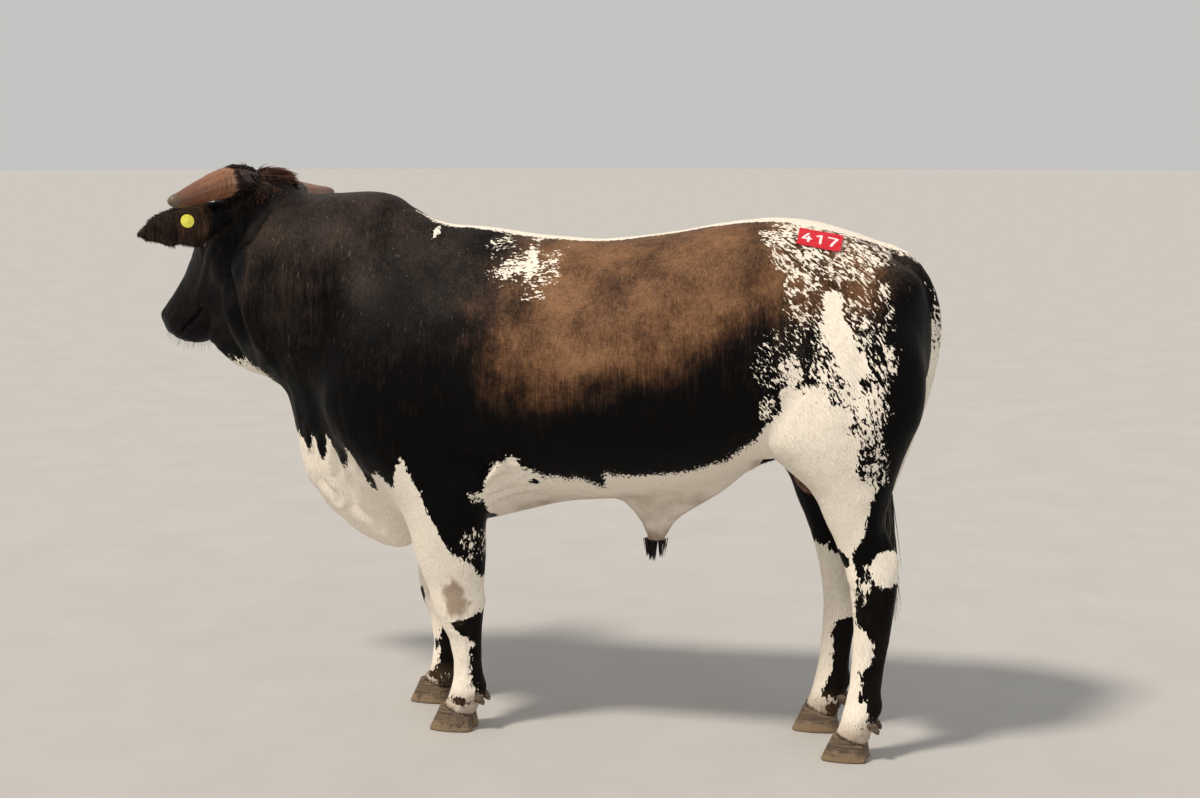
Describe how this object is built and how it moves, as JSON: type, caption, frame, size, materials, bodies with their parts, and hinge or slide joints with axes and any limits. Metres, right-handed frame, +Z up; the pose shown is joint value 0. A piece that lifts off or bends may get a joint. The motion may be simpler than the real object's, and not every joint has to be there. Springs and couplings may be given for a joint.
{
  "type": "domestic bull",
  "caption": "Life-size still model of a humped, horned domestic bull standing square, with a cloven foot at the end of each leg, an ear tag and a hip sticker.",
  "frame": {"origin": "middle of the footprint's bounding box, at the level of the soles", "axes": "+X towards the tail, +Y towards the bull's right side, +Z up"},
  "size_m": [2.3214, 0.7598, 1.5685],
  "materials": {
    "dark hide": "short glossy black-brown hair",
    "brown hide": "short sun-browned hair with white speckles",
    "pale hide": "short cream-white hair with black patches",
    "bare skin": "bare tan skin",
    "switch hair": "long black hair in flat locks",
    "horn": "worn tan horn",
    "ear skin": "dark brown, thin short hair",
    "eye": "wet, very dark brown",
    "hoof": "dull tan-brown horn with dried mud",
    "yellow plastic": "satin",
    "red plastic": "satin"
  },
  "bodies": {
    "root": {"head": "dark hide", "neck": "dark hide", "dewlap": "pale hide", "torso": "brown hide", "sheath": "pale hide", "scrotum": "bare skin", "tail": "dark hide", "tail_switch": "switch hair", "leg_front_left": "pale hide", "leg_front_right": "pale hide", "leg_hind_left": "pale hide", "leg_hind_right": "pale hide", "horn_left": "horn", "horn_right": "horn", "ear_left": "ear skin", "ear_right": "ear skin", "eye_left": "eye", "eye_right": "eye", "ear_tag": "yellow plastic", "hip_tag": "red plastic", "claw_front_left_outer": "hoof", "dewclaw_front_left_outer": "hoof", "claw_front_left_inner": "hoof", "dewclaw_front_left_inner": "hoof", "claw_front_right_outer": "hoof", "dewclaw_front_right_outer": "hoof", "claw_front_right_inner": "hoof", "dewclaw_front_right_inner": "hoof", "claw_hind_left_outer": "hoof", "dewclaw_hind_left_outer": "hoof", "claw_hind_left_inner": "hoof", "dewclaw_hind_left_inner": "hoof", "claw_hind_right_outer": "hoof", "dewclaw_hind_right_outer": "hoof", "claw_hind_right_inner": "hoof", "dewclaw_hind_right_inner": "hoof"}
  },
  "joints": []
}
